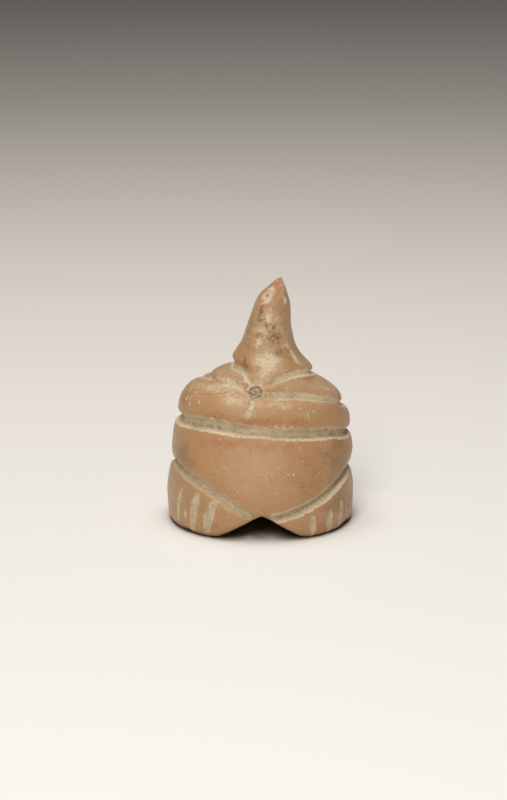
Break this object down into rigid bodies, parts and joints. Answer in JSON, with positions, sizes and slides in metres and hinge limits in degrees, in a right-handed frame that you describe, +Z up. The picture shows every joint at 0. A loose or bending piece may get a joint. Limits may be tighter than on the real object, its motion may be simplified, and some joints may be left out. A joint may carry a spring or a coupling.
{
  "type": "terracotta female figurine",
  "caption": "Small seated, full-bodied clay figurine with gouged rolls and feet, the head broken off at the neck, standing on its flat sole.",
  "frame": {"origin": "middle of the box's underside, in the plane of the flat sole", "axes": "+Z up from the sole to the broken neck, -Y towards the front with the feet, +X to the viewer's right when facing the front"},
  "size_m": [0.0468, 0.0434, 0.0608],
  "materials": {
    "terracotta": "burnished orange-brown clay with matt grey-buff grooves, pale worn edges and an encrusted, earthy neck"
  },
  "bodies": {
    "root": {"figurine": "terracotta"}
  },
  "joints": []
}
